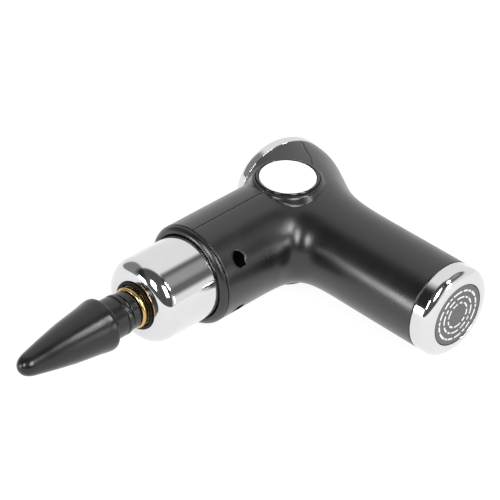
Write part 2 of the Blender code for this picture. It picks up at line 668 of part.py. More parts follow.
# Cells, board and charging socket in the handle.
CELL_LOW = HANDLE_EDGE_Y + 2.7
CELL_TOP = CELL_LOW + CELL_LENGTH
CELL_ORBIT = (CELL_R + GAP) / math.cos(math.pi / 6)
cell = [(0, CELL_LENGTH), (2.6, CELL_LENGTH), (2.6, CELL_LENGTH - 1.0)]
cell.append((CELL_R - 0.5, CELL_LENGTH - 1.0))
cell += [(CELL_R, CELL_LENGTH - 1.5), (CELL_R, 0.4), (CELL_R - 0.4, 0), (0, 0)]
for i in range(3):
    angle = math.radians(90 + 120 * i)
    at = (CELL_ORBIT * math.cos(angle), CELL_LOW, CELL_ORBIT * math.sin(angle))
    finish(turned(f"battery_cell_{i + 1}", cell, Y_AXIS, at, SMALL), CELL)
sleeve_at = (0, CELL_LOW + 1.0, 0)
SLEEVE_BORE = CELL_ORBIT + CELL_R + 0.7
SLEEVE_LENGTH = CELL_LENGTH - 2.0
sleeve = ring("battery_sleeve", SLEEVE_BORE + 0.7, SLEEVE_BORE, 0, SLEEVE_LENGTH, Y_AXIS, sleeve_at, INNER)
finish(sleeve, RUBBER)
finish(disc("battery_plate", SLEEVE_BORE + 0.5, GAP, 1.6, Y_AXIS, (0, CELL_TOP, 0), INNER), NYLON)
BOARD_TOP = BOARD_Y + 1.4
PART_BASE = BOARD_TOP + GAP
finish(disc("control_board", 15.6, 0, 1.4, Y_AXIS, (0, BOARD_Y, 0), INNER), BOARD)
finish(box("control_chip", (-7.0, PART_BASE, -3.0), (-1.0, PART_BASE + 1.2, 3.0)), GREY)
finish(disc("board_capacitor", 2.6, 0, 5.7, Y_AXIS, (-3.0, PART_BASE, 8.5), SMALL), STEEL)
half_y, half_z = PORT_HALF
port_back = PORT_FRONT_X - PORT_DEPTH
port_low = (port_back, PORT_Y - half_y, -half_z)
port = box("charge_socket", port_low, (PORT_FRONT_X, PORT_Y + half_y, half_z), bevel=0.9)
hollow_low = (port_back + 1.0, PORT_Y - half_y + 0.4, 0.4 - half_z)
hollow_high = (PORT_FRONT_X + 3.0, PORT_Y + half_y - 0.4, half_z - 0.4)
cut(port, box("socket_hollow", hollow_low, hollow_high, HELPERS, bevel=0.7))
finish(port, STEEL)
tongue_low = (port_back + 1.3, PORT_Y - 0.35, 1.4 - half_z)
tongue_high = (PORT_FRONT_X - 0.8, PORT_Y + 0.35, half_z - 1.4)
finish(box("socket_tongue", tongue_low, tongue_high), GREY)


# Screws.
def screw(name, at, axis, head_r, head_h, shank_r, length):
    profile = [(0, head_h), (head_r - 0.4, head_h), (head_r, head_h - 0.4), (head_r, 0)]
    profile += [(shank_r, 0), (shank_r, -length), (0, -length)]
    return finish(turned(name, profile, axis, at, SMALL), STEEL)


for label, sign in (("upper", 1), ("lower", -1)):
    at = (SCREW_X, RECESS_FLOOR_Y - GAP, sign * SCREW_Z)
    screw(f"housing_screw_{label}", at, -Y_AXIS, SCREW_HOLE_R - 0.45, 1.6, THREAD_R - 0.35, 12.0)

for obj in list(HELPERS.objects) + list(CUTTERS.objects):
    obj.hide_render = True
    obj.display_type = "WIRE"
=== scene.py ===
"""A mini massage gun on a pale floor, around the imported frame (metres, +Z up)."""

import json
import math

import bmesh
import bpy
from mathutils import Matrix, Vector

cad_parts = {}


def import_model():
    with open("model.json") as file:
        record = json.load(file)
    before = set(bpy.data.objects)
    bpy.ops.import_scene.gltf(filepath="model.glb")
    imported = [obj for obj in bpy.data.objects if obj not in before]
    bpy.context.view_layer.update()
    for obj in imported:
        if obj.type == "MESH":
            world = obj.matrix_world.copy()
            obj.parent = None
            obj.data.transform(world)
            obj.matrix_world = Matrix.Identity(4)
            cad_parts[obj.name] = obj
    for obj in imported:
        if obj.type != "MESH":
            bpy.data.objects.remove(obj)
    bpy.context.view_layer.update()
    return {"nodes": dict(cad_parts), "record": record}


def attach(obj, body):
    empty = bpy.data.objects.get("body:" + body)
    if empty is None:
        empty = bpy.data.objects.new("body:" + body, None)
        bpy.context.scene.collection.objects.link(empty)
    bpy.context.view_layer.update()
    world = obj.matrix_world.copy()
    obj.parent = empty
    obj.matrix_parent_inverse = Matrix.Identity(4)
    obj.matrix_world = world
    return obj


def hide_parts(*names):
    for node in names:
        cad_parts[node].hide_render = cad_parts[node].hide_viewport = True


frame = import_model()

MM = 0.001
MERGE = 0.00001
AXIS_HEIGHT = 24.5
X_AXIS = Vector((1, 0, 0))
Y_AXIS = Vector((0, 1, 0))
Z_AXIS = Vector((0, 0, 1))


def world(x, y, z):
    """A point in millimetres from the crossing of the barrel and handle axes."""
    return Vector((x, y, z + AXIS_HEIGHT)) * MM


# Camera, at the photograph's viewing angle.
CAMERA_RIGHT = Vector((0.7014, -0.7117, 0.0378))
CAMERA_UP = Vector((0.3915, 0.4290, 0.8141))
CAMERA_BACK = CAMERA_RIGHT.cross(CAMERA_UP).normalized()
CAMERA_AT = world(-712.46, -640.67, 662.91)
SENSOR_MM = 36.0
LENS_MM = 189.5
FAR_CLIP = 20.0
camera = bpy.data.objects.new("camera", bpy.data.cameras.new("camera"))
bpy.context.scene.collection.objects.link(camera)
true_up = CAMERA_BACK.cross(CAMERA_RIGHT).normalized()
rows = Matrix((CAMERA_RIGHT.normalized(), true_up, CAMERA_BACK))
camera.matrix_world = Matrix.Translation(CAMERA_AT) @ rows.transposed().to_4x4()
camera.data.sensor_width = SENSOR_MM
camera.data.lens = LENS_MM
camera.data.clip_end = FAR_CLIP
bpy.context.scene.camera = camera
bpy.context.scene.view_settings.view_transform = "Standard"


# Light: a white tent with soft dark patches and one bright one, and area lamps in it.
def direction(azimuth, elevation):
    """A unit vector toward an azimuth and elevation in degrees."""
    a, e = math.radians(azimuth), math.radians(elevation)
    return Vector((math.cos(e) * math.cos(a), math.cos(e) * math.sin(a), math.sin(e)))


def product(tree, a, b):
    """The product of two values, each a number or a node's output."""
    node = tree.nodes.new("ShaderNodeMath")
    node.operation = "MULTIPLY"
    for socket, value in zip(node.inputs, (a, b)):
        if isinstance(value, (int, float)):
            socket.default_value = value
        else:
            tree.links.new(value, socket)
    return node.outputs[0]


def tent(level, patches):
    """Even white with soft patches: (direction, inner and outer degrees, depth)."""
    sky = bpy.data.worlds.new("tent")
    sky.use_nodes = True
    bpy.context.scene.world = sky
    tree = sky.node_tree
    background = tree.nodes["Background"]
    coord = tree.nodes.new("ShaderNodeTexCoord")
    strength = None
    for toward, inner, outer, depth in patches:
        dot = tree.nodes.new("ShaderNodeVectorMath")
        dot.operation = "DOT_PRODUCT"
        tree.links.new(coord.outputs["Generated"], dot.inputs[0])
        dot.inputs[1].default_value = toward
        ramp = tree.nodes.new("ShaderNodeMapRange")
        ramp.interpolation_type = "SMOOTHSTEP"
        tree.links.new(dot.outputs["Value"], ramp.inputs["Value"])
        ramp.inputs["From Min"].default_value = math.cos(math.radians(outer))
        ramp.inputs["From Max"].default_value = math.cos(math.radians(inner))
        ramp.inputs["To Min"].default_value = 1.0
        ramp.inputs["To Max"].default_value = 1.0 - depth
        value = ramp.outputs["Result"]
        strength = value if strength is None else product(tree, strength, value)
    tree.links.new(product(tree, strength, level), background.inputs["Strength"])
    background.inputs["Color"].default_value = (1.0, 1.0, 1.0, 1.0)


LAMP_DISTANCE = 1.0
LAMP_TARGET = (-20, -20, 0)


def softbox(name, toward, size, watts):
    data = bpy.data.lights.new(name, "AREA")
    data.shape = "RECTANGLE"
    data.size = size[0]
    data.size_y = size[1]
    data.energy = watts
    lamp = bpy.data.objects.new(name, data)
    bpy.context.scene.collection.objects.link(lamp)
    lamp.location = world(*LAMP_TARGET) + toward * LAMP_DISTANCE
    lamp.rotation_mode = "QUATERNION"
    lamp.rotation_quaternion = toward.to_track_quat("Z", "Y")


# A negative depth is a bright patch.
PATCHES = [
    (direction(-48, 42), 22, 33, 0.84),
    (direction(-40, 42), 2, 16, -1.5),
    (direction(-150, 32), 58, 72, 0.90),
    (direction(124, 14), 30, 42, 0.72),
]
TENT_LEVEL = 1.0
tent(TENT_LEVEL, PATCHES)
# Each lamp: azimuth, elevation, width, height, watts for a square metre.
LAMPS = (
    (155, 2, 0.22, 0.36, 42.0),
    (-174, 30, 0.26, 0.36, 42.0),
    (-111, 38, 0.30, 0.48, 42.0),
    (-70, 12, 0.12, 0.24, 42.0),
    (-69, 47, 0.09, 0.36, 95.0),
)
for i, (azimuth, elevation, wide, high, power) in enumerate(LAMPS):
    softbox(f"lamp_{i}", direction(azimuth, elevation), (wide, high), power * wide * high)


# Materials.
NOISE_LOW = 0.3
NOISE_HIGH = 0.7
BUMP_DEPTH = 0.00005
BEVEL_SAMPLES = 8


def noise(tree, coord, scale, detail=3.0):
    node = tree.nodes.new("ShaderNodeTexNoise")
    node.inputs["Scale"].default_value = scale
    node.inputs["Detail"].default_value = detail
    node.inputs["Roughness"].default_value = 0.5
    tree.links.new(coord, node.inputs["Vector"])
    return node.outputs["Fac"]


def ranged(tree, value, low, high):
    """A noise value stretched to run from low to high."""
    node = tree.nodes.new("ShaderNodeMapRange")
    tree.links.new(value, node.inputs["Value"])
    node.inputs["From Min"].default_value = NOISE_LOW
    node.inputs["From Max"].default_value = NOISE_HIGH
    node.inputs["To Min"].default_value = low
    node.inputs["To Max"].default_value = high
    return node.outputs["Result"]


def surface(name, colour, rough, metallic=0.0, grain=0.0, grain_scale=900.0, spread=0.06,
            vary=0.08, smudge=90.0, stretch=(1, 1, 1), soft=0.0, **sockets):
    """A Principled material whose colour, roughness and bump vary over the piece.

    spread and vary are how far roughness and colour vary, smudge and grain_scale the
    noise scales, and soft the radius in metres by which edges are shaded round.
    """
    mat = bpy.data.materials.new(name)
    mat.use_nodes = True
    tree = mat.node_tree
    shader = tree.nodes["Principled BSDF"]
    coord = tree.nodes.new("ShaderNodeTexCoord").outputs["Object"]
    if stretch != (1, 1, 1):
        mapping = tree.nodes.new("ShaderNodeMapping")
        mapping.inputs["Scale"].default_value = stretch
        tree.links.new(coord, mapping.inputs["Vector"])
        coord = mapping.outputs["Vector"]
    cloud = noise(tree, coord, smudge)
    fine = noise(tree, coord, grain_scale, 2.0)
    mix = tree.nodes.new("ShaderNodeMix")
    mix.data_type = "RGBA"
    mix.inputs["A"].default_value = (*[c * (1 - vary) for c in colour], 1)
    mix.inputs["B"].default_value = (*[min(1, c * (1 + vary)) for c in colour], 1)
    tree.links.new(ranged(tree, cloud, 0.0, 1.0), mix.inputs["Factor"])
    tree.links.new(mix.outputs["Result"], shader.inputs["Base Color"])
    roughness = ranged(tree, cloud, rough - spread / 2, rough + spread / 2)
    tree.links.new(roughness, shader.inputs["Roughness"])
    shader.inputs["Metallic"].default_value = metallic
    for key, value in sockets.items():
        shader.inputs[key.replace("_", " ")].default_value = value
    if grain:
        bump = tree.nodes.new("ShaderNodeBump")
        bump.inputs["Strength"].default_value = grain
        bump.inputs["Distance"].default_value = BUMP_DEPTH
        tree.links.new(fine, bump.inputs["Height"])
        tree.links.new(bump.outputs["Normal"], shader.inputs["Normal"])
        if soft:
            edge = tree.nodes.new("ShaderNodeBevel")
            edge.samples = BEVEL_SAMPLES
            edge.inputs["Radius"].default_value = soft
            tree.links.new(edge.outputs["Normal"], bump.inputs["Normal"])
    return mat


# Each look: colour, roughness, and what differs from a plain surface.
LOOK_ROWS = {
    "satin_black_plastic": ((0.004, 0.004, 0.0043), 0.29, dict(grain=0.08, soft=0.0012, IOR=1.65)),
    "gloss_black_plastic": ((0.010, 0.010, 0.011), 0.12, dict(spread=0.04)),
    "chrome": ((0.70, 0.70, 0.71), 0.075, dict(metallic=1.0, spread=0.02, vary=0.015)),
    # Painted light: white_plastic glows with a weak emission, which brightens the white button
    # though it is no lamp.
    "white_plastic": ((0.93, 0.93, 0.93), 0.32, dict(
        grain=0.05, vary=0.01, Emission_Color=(1, 1, 1, 1), Emission_Strength=0.22)),
    "dark_grey_plastic": ((0.085, 0.085, 0.09), 0.45, dict(grain=0.25)),
    "brass": ((0.60, 0.40, 0.17), 0.22, dict(metallic=1.0, grain=0.1, vary=0.06)),
    "black_rubber": ((0.006, 0.006, 0.0065), 0.24, dict(grain=0.10)),
    "steel": ((0.60, 0.61, 0.63), 0.28, dict(metallic=1.0, grain=0.1, stretch=(1, 12, 12))),
    "copper_winding": ((0.72, 0.36, 0.18), 0.35, dict(metallic=1.0, grain=0.5, grain_scale=1500)),
    "green_board": ((0.03, 0.17, 0.07), 0.45, dict(grain=0.2, vary=0.3, smudge=400)),
    "cell_sleeve": ((0.05, 0.16, 0.40), 0.40, dict(grain=0.1)),
    "pale_nylon": ((0.78, 0.77, 0.72), 0.50, dict(grain=0.2)),
    # Painted shade: a near-black, matte, barely reflecting look for the inside of the screw
    # recesses.
    "painted_shade_recess": ((0.001, 0.001, 0.001), 0.9, dict(grain=0.1, IOR=1.1)),
    # Plain black for the ring that fills the nose opening and keeps the gap round the brass ring
    # dark.
    "opening_black_look": ((0.003, 0.003, 0.003), 0.55, dict(grain=0.1, IOR=1.35)),
    "silver_print": ((0.80, 0.80, 0.80), 0.35, dict(metallic=0.4, grain=0.1)),
}
LOOKS = {
    name: surface(name, colour, rough, **rest) for name, (colour, rough, rest) in LOOK_ROWS.items()
}
SLOT_OF = {row["node"]: row["material_slot"] for row in frame["record"]["subparts"]}
for node_name, obj in frame["nodes"].items():
    obj.data.materials.clear()
    obj.data.materials.append(LOOKS[SLOT_OF[node_name]])


# Shape helpers.
def add_object(name, mesh):
    obj = bpy.data.objects.new(name, mesh)
    bpy.context.scene.collection.objects.link(obj)
    return obj


def baked(obj):
    """Apply an object's modifiers."""
    bpy.context.view_layer.update()
    graph = bpy.context.evaluated_depsgraph_get()
    mesh = bpy.data.meshes.new_from_object(obj.evaluated_get(graph))
    obj.modifiers.clear()
    obj.data = mesh


def settle(obj):
    """Put an object's place into its mesh, so that its own axes are the row's."""
    bpy.context.view_layer.update()
    obj.data.transform(obj.matrix_world)
    obj.matrix_world = Matrix.Identity(4)
    obj.rotation_mode = "XYZ"
    return obj


STRAIGHT_DEG = 168
CORNER_STEPS = 4


def rounded(profile, radius, closed):
    """A profile of (radius, height) with each corner replaced by a short curve."""
    points = [Vector(p) for p in profile]
    count = len(points)
    result = []
    for i, point in enumerate(points):
        if not closed and i in (0, count - 1):
            result.append(point)
            continue
        before, after = points[i - 1] - point, points[(i + 1) % count] - point
        too_short = before.length < 1e-6 or after.length < 1e-6
        if too_short or math.degrees(before.angle(after)) > STRAIGHT_DEG:
            result.append(point)
            continue
        reach = min(radius, before.length * 0.45, after.length * 0.45)
        start, end = point + before.normalized() * reach, point + after.normalized() * reach
        for k in range(CORNER_STEPS + 1):
            t = k / CORNER_STEPS
            result.append(start * (1 - t) ** 2 + point * 2 * t * (1 - t) + end * t * t)
    return result


def turned(name, profile, axis, point, radius=0.3, closed=False, steps=128):
    """A softened profile in mm, turned about an axis through point."""
    mesh = bpy.data.meshes.new(name)
    bm = bmesh.new()
    verts = [bm.verts.new((p[0] * MM, 0, p[1] * MM)) for p in rounded(profile, radius, closed)]
    for a, b in zip(verts, verts[1:]):
        bm.edges.new((a, b))
    if closed:
        bm.edges.new((verts[-1], verts[0]))
    bm.to_mesh(mesh)
    bm.free()
    obj = add_object(name, mesh)
    screw = obj.modifiers.new("turn", "SCREW")
    screw.axis = "Z"
    screw.steps = steps
    screw.render_steps = steps
    screw.use_merge_vertices = True
    screw.merge_threshold = 0.000001
    screw.use_smooth_shade = True
    obj.modifiers.new("normals", "WEIGHTED_NORMAL")
    baked(obj)
    obj.rotation_mode = "QUATERNION"
    obj.rotation_quaternion = Z_AXIS.rotation_difference(axis)
    obj.location = world(*point)
    return settle(obj)


def disc_profile(radius, low, high):
    return [(0, high), (radius, high), (radius, low), (0, low)]


def box(name, low, high, bevel):
    mesh = bpy.data.meshes.new(name)
    bm = bmesh.new()
    bmesh.ops.create_cube(bm, size=1.0)
    bmesh.ops.scale(bm, vec=[(h - l) * MM for l, h in zip(low, high)], verts=bm.verts)
    bmesh.ops.translate(bm, vec=world(*[(h + l) / 2 for l, h in zip(low, high)]), verts=bm.verts)
    bm.to_mesh(mesh)
    bm.free()
    obj = add_object(name, mesh)
    mod = obj.modifiers.new("edge", "BEVEL")
    mod.width = bevel * MM
    mod.segments = 4
    baked(obj)
    return obj


def boolean(target, other, operation, keep=False):
    mod = target.modifiers.new("cut", "BOOLEAN")
    mod.operation = operation
    mod.solver = "EXACT"
    mod.object = other
    baked(target)
    if not keep:
        bpy.data.objects.remove(other, do_unlink=True)


def copy_of(obj, name):
    return add_object(name, obj.data.copy())


def finish(obj, body, look, slot, *nodes):
    """Give a piece its material and body, and let it stand for CAD nodes."""
    obj.data.materials.clear()
    obj.data.materials.append(LOOKS[look])
    if nodes:
        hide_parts(*nodes)
    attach(obj, body)


# The body shells, from the same cage as the CAD at a finer level.
BARREL_R = 23.0
BARREL_FRONT_X = -62.5
HANDLE_R = 20.6
HANDLE_EDGE_Y = -87.9
HANDLE_END_Y = -96.9
END_DISC_R = 14.5
TOP_TILT_DEG = 75.0
TOP_R = 22.6
TOP_RING_DEPTH = 7.0
TOP_END_R = 18.2
WALL = 2.4
GAP = 0.3
SEAM = 0.30
BUTTON_X = -4.4
BUTTON_R = 12.6
NOSE_R = 19.3
NOSE_ROUND = 7.0
NOSE_FRONT_X = -95.5
NOSE_OPENING_R = 10.5
SCREW_X = -53.0
SCREW_Z = 13.2
SCREW_HOLE_R = 2.95
PILOT_HOLE_R = 1.45
BOSS_R = 3.8
CAGE_SIDES = 12
HALF = CAGE_SIDES // 2
CAGE_FACTOR = (4.0 + 2.0 * math.cos(2.0 * math.pi / CAGE_SIDES)) / 6.0
TOP_AXIS = Vector((math.cos(math.radians(TOP_TILT_DEG)), math.sin(math.radians(TOP_TILT_DEG)), 0))
TOP_ACROSS = Vector((TOP_AXIS.y, -TOP_AXIS.x, 0))
TOP_CENTRE = Vector((16.7, 20.6, 0))

# Cage points of the body, on the plane of the axes.
ELBOW_CORNER = (-34.5, -25.0)
REAR_CORNER = (27.5, -11.3)
FRONT_CORNER = (-7.0, 23.4)
APEX_AT = (5.7, 0.2)
TOP_WAIST = (7.2, 1.0, 1.13)
HANDLE_WAIST = (0.4, -23.0, 0.97)
HANDLE_MIDDLE_Y = -48.0
BARREL_RINGS_X = (-34.0, -46.0)


def half_ring(centre, across, radius):
    """Cage points of half a round limb."""
    rho = radius / CAGE_FACTOR
    points = []
    for i in range(HALF + 1):
        angle = math.pi * i / HALF
        points.append(centre + across * (rho * math.cos(angle)) + Z_AXIS * (rho * math.sin(angle)))
    return points


def crease(corner, apex):
    """Cage points from a corner between two limbs up to the apex."""
    points = [corner]
    quarter = HALF // 2
    for i in range(1, quarter):
        angle = math.pi / 2 * i / quarter
        flat = corner.lerp(Vector((apex.x, apex.y, 0)), 1 - math.cos(angle))
        points.append(Vector((flat.x, flat.y, apex.z * math.sin(angle))))
    return points


def body_form(name, inset, level, reach):
    """The smooth three-limbed body, inset by a wall and with its open ends moved by reach."""
    barrel_r, handle_r, top_r = BARREL_R - inset, HANDLE_R - inset, TOP_R - inset
    apex = Vector((*APEX_AT, barrel_r / CAGE_FACTOR))
    to_elbow = crease(Vector((ELBOW_CORNER[0] + inset, ELBOW_CORNER[1] + inset, 0)), apex)
    to_rear = crease(Vector((REAR_CORNER[0] - inset, REAR_CORNER[1] + inset, 0)), apex)
    to_front = crease(Vector((FRONT_CORNER[0] + inset, FRONT_CORNER[1] - inset, 0)), apex)
    top_back, top_aside, top_wide = TOP_WAIST
    handle_x, handle_y, handle_wide = HANDLE_WAIST
    limbs = (
        (to_elbow, to_rear, [
            (Vector((handle_x, handle_y, 0)), -X_AXIS * handle_wide, handle_r),
            (Vector((0, HANDLE_MIDDLE_Y, 0)), -X_AXIS, handle_r),
            (Vector((0, HANDLE_EDGE_Y - reach, 0)), -X_AXIS, handle_r),
        ]),
        (to_rear, to_front, [
            (TOP_CENTRE - TOP_AXIS * top_back - TOP_ACROSS * top_aside,
             TOP_ACROSS * top_wide, top_r),
            (TOP_CENTRE + TOP_AXIS * reach, TOP_ACROSS, top_r),
        ]),
        (to_front, to_elbow, [
            (Vector((BARREL_RINGS_X[0], 0, 0)), Y_AXIS, barrel_r),
            (Vector((BARREL_RINGS_X[1], 0, 0)), Y_AXIS, barrel_r),
            (Vector((BARREL_FRONT_X - reach, 0, 0)), Y_AXIS, barrel_r),
        ]),
    )
    mesh = bpy.data.meshes.new(name)
    bm = bmesh.new()
    for first, last, rings in limbs:
        cage = [first + [apex] + last[::-1]] + [half_ring(*r) for r in rings]
        for below, above in zip(cage, cage[1:]):
            for i in range(HALF):
                quad = [below[i], below[i + 1], above[i + 1], above[i]]
                bm.faces.new([bm.verts.new(p * MM) for p in quad])
    bmesh.ops.remove_doubles(bm, verts=bm.verts, dist=MERGE)
    bmesh.ops.recalc_face_normals(bm, faces=bm.faces)
    bm.to_mesh(mesh)
    bm.free()
    obj = add_object(name, mesh)
    mirror = obj.modifiers.new("other_side", "MIRROR")
    mirror.use_axis = (False, False, True)
    mirror.merge_threshold = MERGE
    smooth = obj.modifiers.new("smooth", "SUBSURF")
    smooth.levels = level
    smooth.render_levels = level
    baked(obj)
    bm = bmesh.new()
    bm.from_mesh(obj.data)
    bmesh.ops.holes_fill(bm, edges=[e for e in bm.edges if e.is_boundary], sides=0)
    bmesh.ops.recalc_face_normals(bm, faces=bm.faces)
    bmesh.ops.translate(bm, vec=world(0, 0, 0), verts=bm.verts)
    for face in bm.faces:
        face.smooth = True
    bm.to_mesh(obj.data)
    bm.free()
    return obj


def catmull(points, steps):
    """A smooth curve through the points."""
    result = []
    for i in range(len(points) - 1):
        p0, p1 = Vector(points[max(i - 1, 0)]), Vector(points[i])
        p2, p3 = Vector(points[i + 1]), Vector(points[min(i + 2, len(points) - 1)])
        for k in range(steps):
            t = k / steps
            result.append(0.5 * (2 * p1 + (p2 - p0) * t + (2 * p0 - 5 * p1 + 4 * p2 - p3) * t * t
                                 + (3 * p1 - p0 - 3 * p2 + p3) * t ** 3))
    return result + [Vector(points[-1])]


# The parting line runs along the barrel and turns up to the top ring.
PARTING_LINE = [
    (0, 0), (8, 0), (12, 1.0), (15.3, 4.6), (17.6, 8.2), (20.0, 13.0), (23.0, 19.0), (27.0, 45.0),
]


def parting_block(name, shift):
    """The space over the parting line, moved away from the line by shift mm."""
    line = [Vector((-90, 0))] + catmull(PARTING_LINE, 5)
    line.append(Vector((-90, 45)))
    bm = bmesh.new()
    rings = []
    for height in (-40, 40):
        row = []
        for x, y in line:
            lean = min(1.0, max(0.0, (x - 10.0) / 7.0))
            row.append(bm.verts.new(world(x - shift * lean, y + shift * (1 - lean), height)))
        rings.append(row)
    bm.faces.new(rings[0])
    bm.faces.new(rings[1][::-1])
    count = len(line)
    for i in range(count):
        j = (i + 1) % count
        bm.faces.new((rings[0][i], rings[0][j], rings[1][j], rings[1][i]))
    bmesh.ops.recalc_face_normals(bm, faces=bm.faces)
    mesh = bpy.data.meshes.new(name)
    bm.to_mesh(mesh)
    bm.free()
    return add_object(name, mesh)


FOOT_TOP = 23.6
CUP_R = BUTTON_R + 1.4
CUP_HOLE_R = CUP_R + GAP
FOOT = [(0, FOOT_TOP), (CUP_HOLE_R + 0.4, FOOT_TOP), (CUP_HOLE_R + 1.3, FOOT_TOP - 0.7)]
FOOT += [(CUP_HOLE_R + 1.8, FOOT_TOP - 2.0), (CUP_HOLE_R + 2.6, FOOT_TOP - 4.0)]
FOOT += [(CUP_HOLE_R + 4.4, 17.0), (CUP_HOLE_R + 3.0, 12.5), (0, 12.5)]
ORIGIN = (0, 0, 0)
BUTTON_AT = (BUTTON_X, 0, 0)
RECESS_FLOOR_Y = -6.2
# Recess faces lower than this height get the painted shade.
PAINTED_SHADE_Y = 0.4 - abs(RECESS_FLOOR_Y) * 0.9

form = body_form("form", 0.0, 3, 0.0)
for axis in (Z_AXIS, -Z_AXIS):
    boolean(form, turned("foot", FOOT, axis, BUTTON_AT, 1.2), "UNION")
hollow = body_form("hollow", WALL, 2, 3.0)
wall_middle = body_form("wall_middle", WALL / 2, 2, -1.0)
boolean(form, copy_of(hollow, "hollow_cut"), "DIFFERENCE")


def shell(name, operation, shift, boss_low, boss_high, recess):
    """One body shell, with its screw bosses, screw holes and the holes for the cups."""
    obj = copy_of(form, name)
    for sign in (-1, 1):
        at = (SCREW_X, 0, sign * SCREW_Z)
        post = turned("boss", disc_profile(BOSS_R, boss_low, boss_high), Y_AXIS, at, 0, steps=40)
        boolean(post, wall_middle, "INTERSECT", keep=True)
        boolean(obj, post, "UNION")
    boolean(obj, parting_block("block", shift), operation)
    for axis in (Z_AXIS, -Z_AXIS):
        hole = turned("hole", disc_profile(CUP_HOLE_R, 8, 30), axis, BUTTON_AT, 0, steps=136)
        boolean(obj, hole, "DIFFERENCE")
    for sign in (-1, 1):
        at = (SCREW_X, 0, sign * SCREW_Z)
        for radius, low, high in recess:
            tool = turned("recess", disc_profile(radius, low, high), Y_AXIS, at, 0, steps=48)
            boolean(obj, tool, "DIFFERENCE")
    return obj


SHARP_DEG = 32


def keep_normals(obj):
    """Smooth shading with sharp edges where faces meet at an angle."""
    obj.data.shade_smooth()
    obj.data.set_sharp_from_angle(angle=math.radians(SHARP_DEG))
    return obj


def in_screw_recess(centre):
    """Whether a point in mm is on the wall or floor of a screw recess, where shade is painted."""
    x, y, z = centre
    from_screw = math.hypot(x - SCREW_X, abs(z - AXIS_HEIGHT) - SCREW_Z)
    return y < PAINTED_SHADE_Y and from_screw < SCREW_HOLE_R + 0.01


HOUSING_HOLES = [(SCREW_HOLE_R, -34, RECESS_FLOOR_Y), (PILOT_HOLE_R, -12, 6)]
COVER_HOLES = [(PILOT_HOLE_R, -6, 10)]
main_housing = shell("housing_shell", "DIFFERENCE", -SEAM / 2, -30, 4, HOUSING_HOLES)
top_cover = shell("cover_shell", "INTERSECT", SEAM / 2, -4, 30, COVER_HOLES)
port_cut = box("port_cut", (12.0, -30.4, -5.0), (32.0, -26.4, 5.0), 1.2)
boolean(main_housing, port_cut, "DIFFERENCE")
for helper in (form, hollow, wall_middle):
    bpy.data.objects.remove(helper, do_unlink=True)
finish(keep_normals(main_housing), "body", "satin_black_plastic", "", "main_housing")
# The faces inside the screw recesses get painted shade: a near-black matte look.
main_housing.data.materials.append(LOOKS["painted_shade_recess"])
for face in main_housing.data.polygons:
    if in_screw_recess(face.center / MM):
        face.material_index = 1
finish(keep_normals(top_cover), "body", "satin_black_plastic", "", "top_cover")

# Front of the barrel. Profiles are (radius, height toward the nose) in mm.
trim = [(NOSE_R + GAP, 2.3), (NOSE_R + 0.7, 2.8), (NOSE_R + 1.5, 2.7), (NOSE_R + 2.5, 2.1)]
trim += [(BARREL_R - 0.5, 1.3), (BARREL_R, GAP), (BARREL_R - WALL - GAP, GAP)]
trim += [(BARREL_R - WALL - GAP, -2.6), (NOSE_R + GAP, -2.6)]
piece = turned("barrel_trim", trim, -X_AXIS, (BARREL_FRONT_X, 0, 0), 0.5, True)
finish(piece, "body", "satin_black_plastic", "", "barrel_trim_ring")

SHOULDER_STEPS = 16
front = -NOSE_FRONT_X
nose = [(NOSE_OPENING_R, front - 1.9), (NOSE_OPENING_R, front - 0.4), (NOSE_OPENING_R + 0.5, front)]
for i in range(SHOULDER_STEPS + 1):
    angle = math.pi / 2 * (1 - i / SHOULDER_STEPS)
    r = NOSE_R - NOSE_ROUND + NOSE_ROUND * math.cos(angle)
    nose.append((r, front - NOSE_ROUND + NOSE_ROUND * math.sin(angle)))
nose += [(NOSE_R, 59.0), (NOSE_R - 1.8, 59.0), (NOSE_R - 1.8, front - NOSE_ROUND)]
nose += [(NOSE_R - 4.6, front - 2.7), (NOSE_R - 6.8, front - 1.9)]
piece = turned("nose_shell", nose, -X_AXIS, ORIGIN, 0.3, True)
finish(piece, "body", "chrome", "", "nose_collar")

# A black ring fills the nose opening round the brass ring and keeps the gap there dark.
opening_ring_points = [(11.0, 96.2), (11.0, 95.8), (10.2, 95.8), (10.2, 93.3), (12.2, 93.3), (12.2, 91.5)]
opening_ring_points += [(9.6, 91.5), (9.6, 96.2)]
piece = turned("opening_black_ring", opening_ring_points, -X_AXIS, ORIGIN, 0.25, True)
finish(piece, "body", "opening_black_look", "", "nose_seal")
socket = [(8.2, 3.3), (8.8, 3.2), (9.2, 2.7), (9.3, 2.2), (9.2, 1.2), (8.9, 0.4), (8.7, 0.0)]
socket.append((8.0, 0.0))
piece = turned("socket_ring", socket, -X_AXIS, (-95.9, 0, 0), 0.4, True)
finish(piece, "piston", "brass", "", "brass_socket_ring")

# The massage head: a rounded cone on a neck, and its stem with two grooves.
cone = [(0, 160.6), (1.8, 160.2), (3.3, 159.1), (4.4, 157.4), (5.15, 155.2), (7.25, 145.4)]
cone += [(9.3, 134.6), (10.9, 122.6), (11.6, 118.6), (11.9, 116.6), (11.8, 115.2), (11.1, 114.6)]
cone += [(9.2, 113.6), (9.1, 107.4), (8.6, 107.2), (8.6, 106.8), (9.1, 106.6), (9.2, 105.2)]
cone += [(8.9, 104.2), (8.6, 103.8), (6.2, 103.8), (6.2, 108.0), (0, 108.0)]
piece = turned("cone_head", cone, -X_AXIS, ORIGIN, 0.9)
finish(piece, "head", "black_rubber", "", "massage_head")
stem = [(0, 107.6), (5.8, 107.6), (5.8, 103.5), (8.5, 103.5), (8.5, 99.9), (7.5, 99.7)]
stem += [(7.5, 78.4), (6.7, 78.2), (6.7, 76.6), (7.5, 76.4), (7.5, 72.6), (6.7, 72.4)]
stem += [(6.7, 70.8), (7.5, 70.6), (7.5, 56.5), (6.3, 55.3), (0, 55.3)]
piece = turned("stem", stem, -X_AXIS, ORIGIN, 0.3)
finish(piece, "head", "black_rubber", "", "head_stem")


